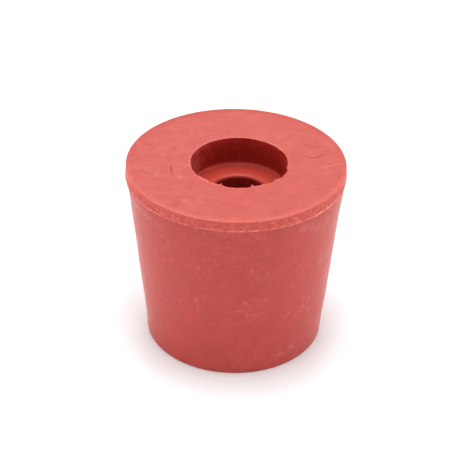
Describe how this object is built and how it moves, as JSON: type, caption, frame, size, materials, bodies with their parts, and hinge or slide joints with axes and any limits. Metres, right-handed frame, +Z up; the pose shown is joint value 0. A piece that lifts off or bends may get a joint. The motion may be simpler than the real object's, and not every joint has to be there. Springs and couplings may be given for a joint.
{
  "type": "rubber stopper",
  "caption": "Tapered solid rubber stopper with a trimmed band under its top edge and a stepped hole down the middle that grips a tube.",
  "frame": {"origin": "the middle of the narrow end's flat face, on the surface that the stopper stands on", "axes": "+Z up, out of the wide end and along the hole; +X from the body's axis towards the hole's axis, which is 0.45 mm off centre"},
  "size_m": [0.036, 0.036, 0.032],
  "materials": {
    "red_rubber": "matte"
  },
  "bodies": {
    "root": {"stopper": "red_rubber"}
  },
  "joints": []
}
